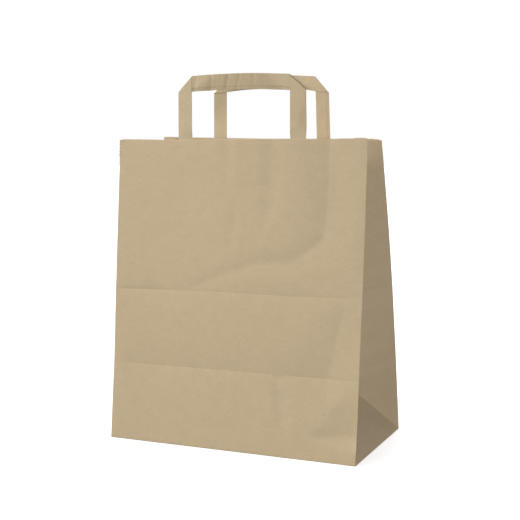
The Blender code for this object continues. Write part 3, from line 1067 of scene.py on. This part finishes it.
def marked(tree, mask, tone):
    """A tone where a mask is 1, and 1 where it is 0."""
    return compute(tree, "MULTIPLY_ADD", mask, tone - 1.0, 1.0)


def paper_grain_group():
    """Node group: the fibres, clouds and specks of kraft paper, on a map in metres."""
    if "paper_grain" in bpy.data.node_groups:
        return bpy.data.node_groups["paper_grain"]
    group = bpy.data.node_groups.new("paper_grain", "ShaderNodeTree")
    face = group.interface
    face.new_socket("Place", in_out="INPUT", socket_type="NodeSocketVector")
    for name, value in GRAIN_SIZES.items():
        socket = face.new_socket(name, in_out="INPUT", socket_type="NodeSocketFloat")
        socket.default_value = value
    for name in ("Fibres", "Clouds", "Specks", "Height"):
        face.new_socket(name, in_out="OUTPUT", socket_type="NodeSocketFloat")
    given = add_node(group, "NodeGroupInput").outputs

    def stretched_noise(width, length, detail, roughness):
        split = add_node(group, "ShaderNodeSeparateXYZ", (given["Place"],)).outputs
        ways = [compute(group, "DIVIDE", split[i], size) for i, size in enumerate((width, length))]
        inputs = {"Vector": add_node(group, "ShaderNodeCombineXYZ", ways).outputs[0],
                  "Scale": 1.0, "Detail": detail, "Roughness": roughness}
        return add_node(group, "ShaderNodeTexNoise", inputs).outputs["Fac"]

    fibres = stretched_noise(given["Fibre Width"], given["Fibre Length"], 5.0, 0.62)
    clouds = stretched_noise(given["Cloud Size"], given["Cloud Size"], 3.0, 0.55)
    cells = add_node(group, "ShaderNodeTexVoronoi",
                     {"Vector": given["Place"], "Scale": 1.0 / SPECK_SPACING}, feature="F1")
    near = compute(group, "LESS_THAN", cells.outputs["Distance"], SPECK_SIZE)
    pick = add_node(group, "ShaderNodeSeparateColor", (cells.outputs["Color"],))
    chosen = compute(group, "LESS_THAN", pick.outputs["Red"], given["Speck Chance"])
    add_node(group, "NodeGroupOutput", {
        "Fibres": fibres,
        "Clouds": clouds,
        "Specks": compute(group, "MULTIPLY", near, chosen),
        "Height": compute(group, "MULTIPLY_ADD", clouds, 0.5, fibres),
    })
    return group


def line_on_paper(tree, place, line):
    """A line's tone between its two distances along the paper's own map, and 1 elsewhere."""
    along = add_node(tree, "ShaderNodeVectorMath", (place, (*line.way, 0.0)),
                     operation="DOT_PRODUCT").outputs["Value"]
    above = compute(tree, "GREATER_THAN", along, line.low)
    below = compute(tree, "LESS_THAN", along, line.high)
    return marked(tree, compute(tree, "MULTIPLY", above, below), line.tone)


def kraft_material(name, colour, roughness, lines=()):
    look = paper_look()
    material = bpy.data.materials.new(name)
    material.use_nodes = True
    tree = material.node_tree
    shader = tree.nodes["Principled BSDF"]
    place = add_node(tree, "ShaderNodeUVMap", uv_map="paper").outputs["UV"]
    group = paper_grain_group()
    grain = add_node(tree, "ShaderNodeGroup", {"Place": place}, node_tree=group).outputs
    tone = add_node(tree, "ShaderNodeRGB").outputs[0]
    tone.default_value = (*colour, 1.0)
    for mask, contrast in (("Fibres", look.fibre_contrast), ("Clouds", look.cloud_contrast)):
        ramp = add_node(tree, "ShaderNodeMapRange", {
            "Value": grain[mask], "From Min": 0.25, "From Max": 0.75,
            "To Min": 1.0 - contrast, "To Max": 1.0 + contrast})
        tone = scaled(tree, tone, ramp.outputs[0])
    tone = scaled(tree, tone, marked(tree, grain["Specks"], SPECK_TONE))
    for line in lines:
        tone = scaled(tree, tone, line_on_paper(tree, place, line))
    tree.links.new(tone, shader.inputs["Base Color"])
    shader.inputs["Roughness"].default_value = roughness
    shader.inputs["Specular IOR Level"].default_value = 0.35
    bump = add_node(tree, "ShaderNodeBump", {
        "Strength": 0.5, "Distance": 0.00012, "Height": grain["Height"]})
    tree.links.new(bump.outputs["Normal"], shader.inputs["Normal"])
    return material


def split_by_camera(tree, seen, otherwise, output):
    """Show one shader to the camera, and another to all other rays."""
    path = add_node(tree, "ShaderNodeLightPath").outputs["Is Camera Ray"]
    mix = add_node(tree, "ShaderNodeMixShader", (path, otherwise, seen))
    tree.links.new(mix.outputs[0], tree.nodes[output].inputs["Surface"])


def floor_material():
    """A plain pale floor, lit up a little, that throws hardly any light back at the bag."""
    stage = stage_settings()
    material = bpy.data.materials.new("floor")
    material.use_nodes = True
    tree = material.node_tree
    shader = tree.nodes["Principled BSDF"]
    for name, value in (
        ("Base Color", (*stage.floor_colour, 1.0)),
        ("Roughness", 0.9),
        ("Specular IOR Level", 0.0),
        ("Emission Color", WHITE),
        ("Emission Strength", stage.floor_glow),
    ):
        shader.inputs[name].default_value = value
    dim = add_node(tree, "ShaderNodeBsdfDiffuse", {"Color": (*[stage.floor_bounce] * 3, 1.0)})
    split_by_camera(tree, shader.outputs[0], dim.outputs[0], "Material Output")
    return material


def soft_room():
    """Even light from all round, in front of a plain white backdrop."""
    stage = stage_settings()
    world = bpy.data.worlds.new("soft_room")
    world.use_nodes = True
    tree = world.node_tree
    room = tree.nodes["Background"]
    room.inputs["Color"].default_value = (*stage.room_colour, 1.0)
    room.inputs["Strength"].default_value = stage.room_strength
    backdrop = add_node(tree, "ShaderNodeBackground", {"Color": WHITE})
    split_by_camera(tree, backdrop.outputs[0], room.outputs[0], "World Output")
    return world


def broad_light(name, strength, turn, height, spread, colour=WHITE[:3]):
    """A distant soft light, its angles in degrees: turned from the front, and above the floor."""
    light = bpy.data.lights.new(name, "SUN")
    light.color = colour
    light.angle = math.radians(spread)
    light.energy = strength
    made = bpy.data.objects.new(name, light)
    made.rotation_euler = (math.radians(90.0 - height), 0.0, math.radians(turn))
    bpy.context.collection.objects.link(made)


def set_camera():
    stage = stage_settings()
    data = bpy.data.cameras.new("camera")
    data.sensor_width = 36.0
    data.lens = stage.camera_lens
    data.clip_start, data.clip_end = 0.01, 100.0
    camera = bpy.data.objects.new("camera", data)
    camera.matrix_world = (
        Matrix.Translation(Vector(stage.camera_place))
        @ Matrix.Rotation(stage.camera_turn, 4, "Z")
        @ Matrix.Rotation(math.pi / 2 - stage.camera_tip, 4, "X")
        @ Matrix.Rotation(stage.camera_roll, 4, "Z")
    )
    bpy.context.collection.objects.link(camera)
    bpy.context.scene.camera = camera


def metres(name, description, default, **more):
    return bpy.props.FloatProperty(
        name=name, description=description, default=default, unit="LENGTH", **more)


def degrees(name, description, default):
    return bpy.props.FloatProperty(
        name=name, description=description, default=math.radians(default), subtype="ANGLE")


def amount(name, description, default, **more):
    return bpy.props.FloatProperty(
        name=name, description=description, default=default, min=0.0, **more)


def tint(name, description, default, most=1.0):
    return bpy.props.FloatVectorProperty(
        name=name, description=description, default=default, subtype="COLOR", min=0.0, max=most)


class BagSizes(bpy.types.PropertyGroup):
    panel_width: metres("Panel width", "Width of the front and back panels", 0.260)
    side_width: metres("Side width", "Width of each side at the base", 0.135)
    panel_height: metres("Panel height", "Length of the paper from the base to the rim", 0.300)
    paper: metres("Paper thickness", "Thickness of one layer of paper", 0.00015, precision=5)
    lower_fold: metres("Bottom fold", "Height of the fold line that the bottom leaves", 0.0765)
    packing_fold: metres(
        "Packing fold", "Height of the fold line from packing the bag flat", 0.1515)
    tooth_depth: metres("Tooth depth", "Depth of the teeth of the cut edges", 0.0008, precision=4)
    flap_overlap: metres("Flap overlap", "How far the bottom flaps overlap", 0.022)
    seam_width: metres("Seam width", "Width of the glued seam of the tube", 0.016)
    seam_from_edge: metres(
        "Seam place", "Distance of the seam from the back panel's left fold", 0.020)


class HandleSizes(bpy.types.PropertyGroup):
    tape_width: metres("Tape width", "Width of the folded paper tape", 0.0155)
    tape_thickness: metres(
        "Tape thickness", "Thickness of the folded paper tape", 0.0005, precision=4)
    seam_from_edge: metres("Tape seam", "Distance of the tape's own seam from its edge", 0.003)
    rise: metres("Rise", "Height of the handles above the rim", 0.061)
    tail: metres("Tail", "Length of the handle ends glued inside the panel", 0.038)
    patch_below_rim: metres("Patch below rim", "Distance of the patch from the rim", 0.004)
    patch_past_tail: metres(
        "Patch past tail", "How far the patch reaches past the handle ends", 0.008)
    patch_margin: metres("Patch margin", "How far the patch reaches past the outer legs", 0.014)


class PaperLook(bpy.types.PropertyGroup):
    bag_colour: tint("Bag colour", "Colour of the bag's kraft paper", (0.490, 0.384, 0.233))
    tape_colour: tint("Tape colour", "Colour of the handles' paper tape", (0.490, 0.384, 0.233))
    patch_colour: tint(
        "Patch colour", "Colour of the patches over the handle ends", (0.475, 0.374, 0.236))
    fibre_contrast: amount(
        "Fibre contrast", "How strongly the fibres change the paper's tone", 0.09, max=1.0)
    cloud_contrast: amount("Cloud contrast", "How uneven the paper's tone is", 0.035, max=1.0)


class StageSettings(bpy.types.PropertyGroup):
    camera_place: bpy.props.FloatVectorProperty(
        name="Camera place", description="Where the camera stands",
        default=(0.4450, -0.9704, 0.3083), subtype="TRANSLATION", unit="LENGTH")
    camera_turn: degrees(
        "Camera turn", "Turn of the camera from looking straight at the front", 24.28)
    camera_tip: degrees("Camera tip", "How far the camera looks down", 7.03)
    camera_roll: degrees("Camera roll", "Roll of the camera about its own axis", -0.81)
    camera_lens: bpy.props.FloatProperty(
        name="Camera lens", description="Focal length on a 36 mm wide sensor",
        default=74.80, unit="CAMERA")
    floor_colour: tint("Floor colour", "Colour of the plain floor", (0.93, 0.92, 0.93))
    floor_glow: amount("Floor glow", "Light of the lit floor itself", 0.55)
    floor_bounce: amount(
        "Floor bounce", "Share of its light that the floor throws at the bag", 0.05, max=1.0)
    room_colour: tint("Room colour", "Colour of the even light from all round", (1.0, 1.0, 1.0))
    room_strength: amount("Room light", "Strength of the even light from all round", 0.24)
    key_strength: amount(
        "Key light", "Strength of the broad light from the left of the front", 1.05)
    fill_strength: amount(
        "Fill light", "Strength of the low light from the right of the front", 1.86)
    fill_colour: tint("Fill colour", "Colour of the fill light", (0.98, 0.98, 1.06), most=2.0)
    side_strength: amount(
        "Side light", "Strength of the light from the left that shows relief", 1.85)
    back_strength: amount("Back light", "Strength of the light from above and behind", 2.00)


def painted_tape_shade():
    """Painted shade on the tape: a dark line at the step of its own seam, and a painted shadow
    along the fold of the front right corner.
    """
    seam = handle_sizes().seam_from_edge
    left, right = HANDLE_ENDS["front"]
    fold = PLAIN_SHIFT + right - left + bar_foot()
    return (Line(way=(1.0, 0.0), low=seam, high=seam + 0.0005, tone=0.84),
            Line(way=(1.0, 1.0), low=fold - 0.0004, high=fold + 0.0019, tone=0.5))


class CARRIERBAG_OT_bag(bpy.types.Operator):
    """Fold the bag from one sheet of kraft paper"""

    bl_idname = "carrierbag.bag"
    bl_label = "Fold the bag"

    def execute(self, context):
        piece, columns = fold_tube()
        round_bottom_edge(piece, columns)
        fold_bottom(piece, columns)
        cut_free_edges(piece)
        close_and_turn_out(piece)
        thicken(piece, 2.0 * bag_sizes().paper, -1.0, "seam")
        colour = paper_look().bag_colour
        material = kraft_material("bag_kraft", colour, roughness=0.78, lines=(RIM_EDGE_AND_HIGHLIGHT,))
        finish_piece(piece, material, smooth_below=40.0)
        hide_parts("bag_body")
        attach(piece, "root")
        return {"FINISHED"}


class CARRIERBAG_OT_handles(bpy.types.Operator):
    """Fold the two flat tape handles"""

    bl_idname = "carrierbag.handles"
    bl_label = "Fold the handles"

    def execute(self, context):
        colour = paper_look().tape_colour
        material = kraft_material("tape_kraft", colour, roughness=0.72, lines=painted_tape_shade())
        for face in ("front", "back"):
            piece = lay_tape(face)
            finish_piece(piece, material, smooth_below=50.0)
            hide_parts(face + "_handle")
            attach(piece, "root")
        return {"FINISHED"}


class CARRIERBAG_OT_patches(bpy.types.Operator):
    """Lay the patches that hold the handle ends"""

    bl_idname = "carrierbag.patches"
    bl_label = "Lay the patches"

    def execute(self, context):
        colour = paper_look().patch_colour
        material = kraft_material("patch_paper", colour, roughness=0.80)
        for face in ("front", "back"):
            piece = lay_patch(face)
            finish_piece(piece, material, smooth_below=50.0)
            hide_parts(face + "_handle_patch")
            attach(piece, "root")
        return {"FINISHED"}


class CARRIERBAG_OT_stage(bpy.types.Operator):
    """Set the plain floor, the soft light and the camera"""

    bl_idname = "carrierbag.stage"
    bl_label = "Set the stage"

    def execute(self, context):
        bpy.ops.object.select_all(action="DESELECT")
        bpy.ops.mesh.primitive_plane_add(size=FLOOR_SIZE, location=(0.0, 0.0, -FLOOR_GAP))
        floor = bpy.context.object
        floor.name = "floor"
        stage = stage_settings()
        floor.data.materials.append(floor_material())
        context.scene.world = soft_room()
        broad_light("key", stage.key_strength, turn=-37.0, height=22.0, spread=60.0)
        broad_light("fill", stage.fill_strength, turn=35.0, height=8.0, spread=24.0,
                    colour=stage.fill_colour)
        broad_light("side", stage.side_strength, turn=-72.0, height=20.0, spread=45.0)
        broad_light("back", stage.back_strength, turn=-168.0, height=28.0, spread=50.0)
        set_camera()
        context.scene.view_settings.view_transform = "Standard"
        return {"FINISHED"}


class CARRIERBAG_PT_panel(bpy.types.Panel):
    """The carrier bag's sizes, looks and steps"""

    bl_idname = "CARRIERBAG_PT_panel"
    bl_label = "Carrier bag"
    bl_space_type = "VIEW_3D"
    bl_region_type = "UI"
    bl_category = "Carrier bag"

    def draw(self, context):
        for name, kind in GROUPS.items():
            box = self.layout.box()
            box.label(text=name.removeprefix("carrier_").capitalize())
            for setting in kind.__annotations__:
                box.prop(getattr(context.scene, name), setting)
        for operator in OPERATORS:
            self.layout.operator(operator.bl_idname)


GROUPS = {
    "carrier_bag": BagSizes,
    "carrier_handles": HandleSizes,
    "carrier_paper": PaperLook,
    "carrier_stage": StageSettings,
}
OPERATORS = (
    CARRIERBAG_OT_bag,
    CARRIERBAG_OT_handles,
    CARRIERBAG_OT_patches,
    CARRIERBAG_OT_stage,
)


def register():
    for name, group in GROUPS.items():
        bpy.utils.register_class(group)
        setattr(bpy.types.Scene, name, bpy.props.PointerProperty(type=group))
    for operator in OPERATORS:
        bpy.utils.register_class(operator)
    bpy.utils.register_class(CARRIERBAG_PT_panel)


def unregister():
    bpy.utils.unregister_class(CARRIERBAG_PT_panel)
    for operator in reversed(OPERATORS):
        bpy.utils.unregister_class(operator)
    for name, group in reversed(list(GROUPS.items())):
        delattr(bpy.types.Scene, name)
        bpy.utils.unregister_class(group)


def main():
    register()
    bpy.ops.carrierbag.bag()
    bpy.ops.carrierbag.handles()
    bpy.ops.carrierbag.patches()
    bpy.ops.carrierbag.stage()


if __name__ == "__main__":
    main()
